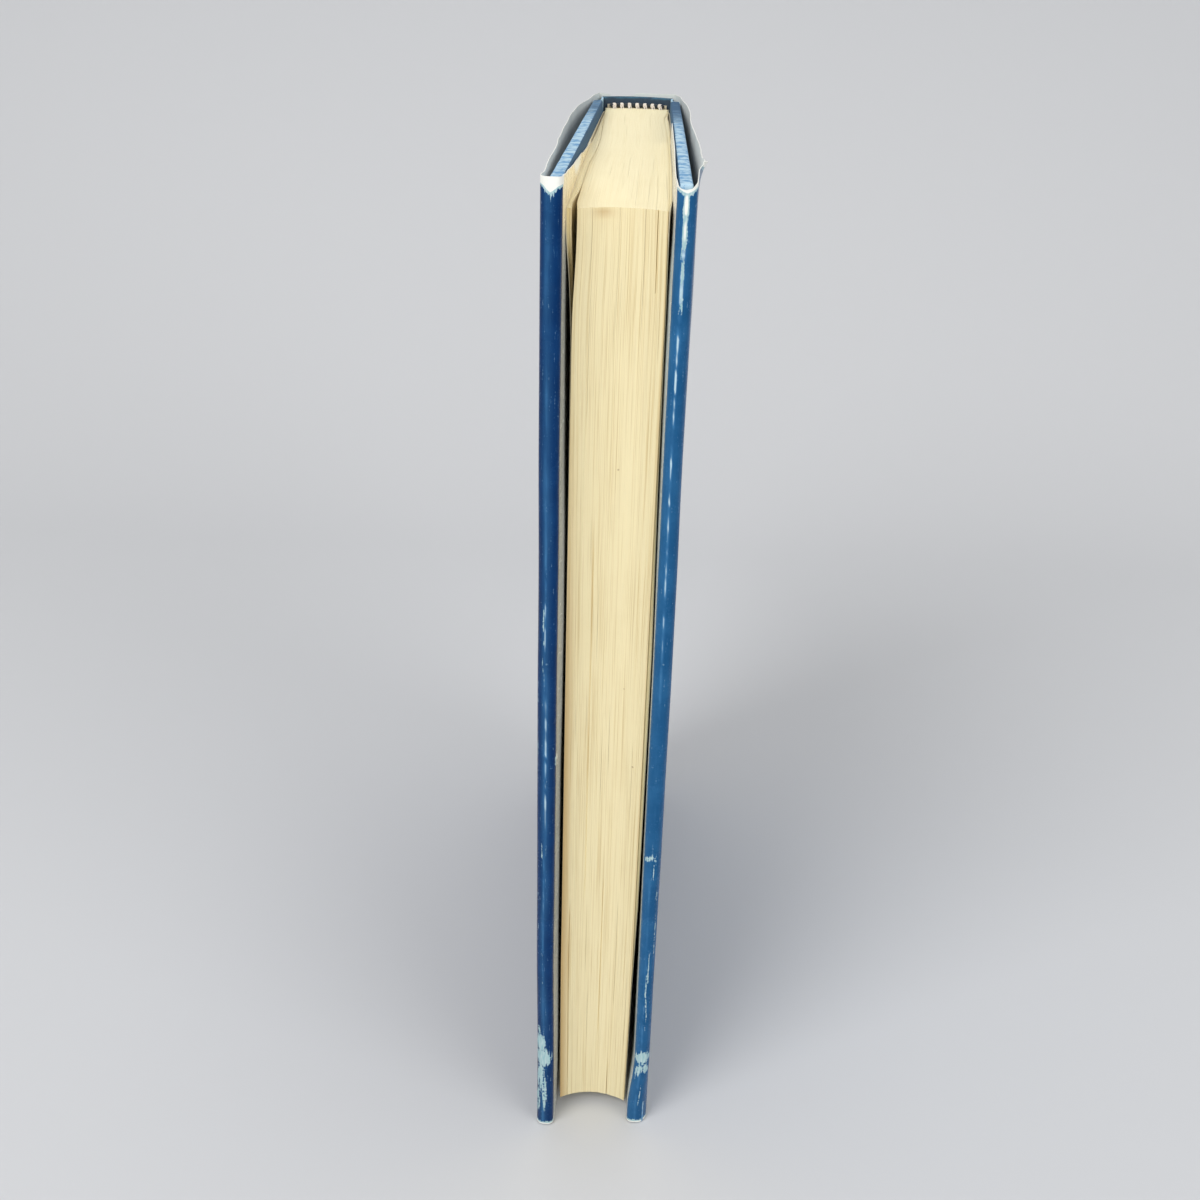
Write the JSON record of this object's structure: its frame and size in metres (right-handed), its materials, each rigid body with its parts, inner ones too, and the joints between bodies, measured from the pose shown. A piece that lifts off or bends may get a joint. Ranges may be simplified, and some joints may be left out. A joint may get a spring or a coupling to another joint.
{
  "type": "hardcover book in a dust jacket",
  "caption": "Upright octavo hardback: rounded text block with striped head bands, cloth case with two hinged covers, and a worn blue paper dust jacket.",
  "frame": {"origin": "middle of the base, on the surface that the book stands on", "axes": "+Z from tail to head, -Y out of the fore edge, +Y out of the spine, -X out of the front cover"},
  "size_m": [0.0288, 0.1479, 0.217],
  "materials": {
    "leaves": "aged uncoated book paper, seen on its trimmed edges",
    "endpaper": "uncoated cream endpaper",
    "jacket": "glossy coated blue paper, worn to white on its folds",
    "book_cloth": "woven starched book cloth, light blue",
    "board": "grey binder's board",
    "gauze": "open starched gauze",
    "kraft": "brown kraft paper",
    "thread_light": "white cotton",
    "thread_dark": "dark cotton",
    "band_tape": "cotton tape"
  },
  "bodies": {
    "root": {"text_block": "leaves", "spine_super": "gauze", "spine_lining": "kraft", "headband_cord": "thread_dark", "headband_beads": "thread_light", "headband_tape": "band_tape", "tailband_cord": "thread_dark", "tailband_beads": "thread_light", "tailband_tape": "band_tape", "spine_strip": "board", "cloth_spine": "book_cloth", "rear_flyleaf": "endpaper", "jacket_spine": "jacket"},
    "front_cover": {"front_board": "board", "front_cloth": "book_cloth", "front_super_flange": "gauze", "front_pastedown": "endpaper", "front_flyleaf": "endpaper", "jacket_front": "jacket"},
    "back_cover": {"back_board": "board", "back_cloth": "book_cloth", "back_super_flange": "gauze", "back_pastedown": "endpaper", "jacket_back": "jacket"}
  },
  "joints": [
    {"name": "front_joint", "type": "hinge", "parent": "root", "child": "front_cover", "pos_m": [-0.01162, 0.06365, 0.108], "axis": [0, 0, -1], "range_deg": [0, 180]},
    {"name": "back_joint", "type": "hinge", "parent": "root", "child": "back_cover", "pos_m": [0.01162, 0.06565, 0.108], "axis": [0, 0, 1], "range_deg": [0, 180]}
  ]
}
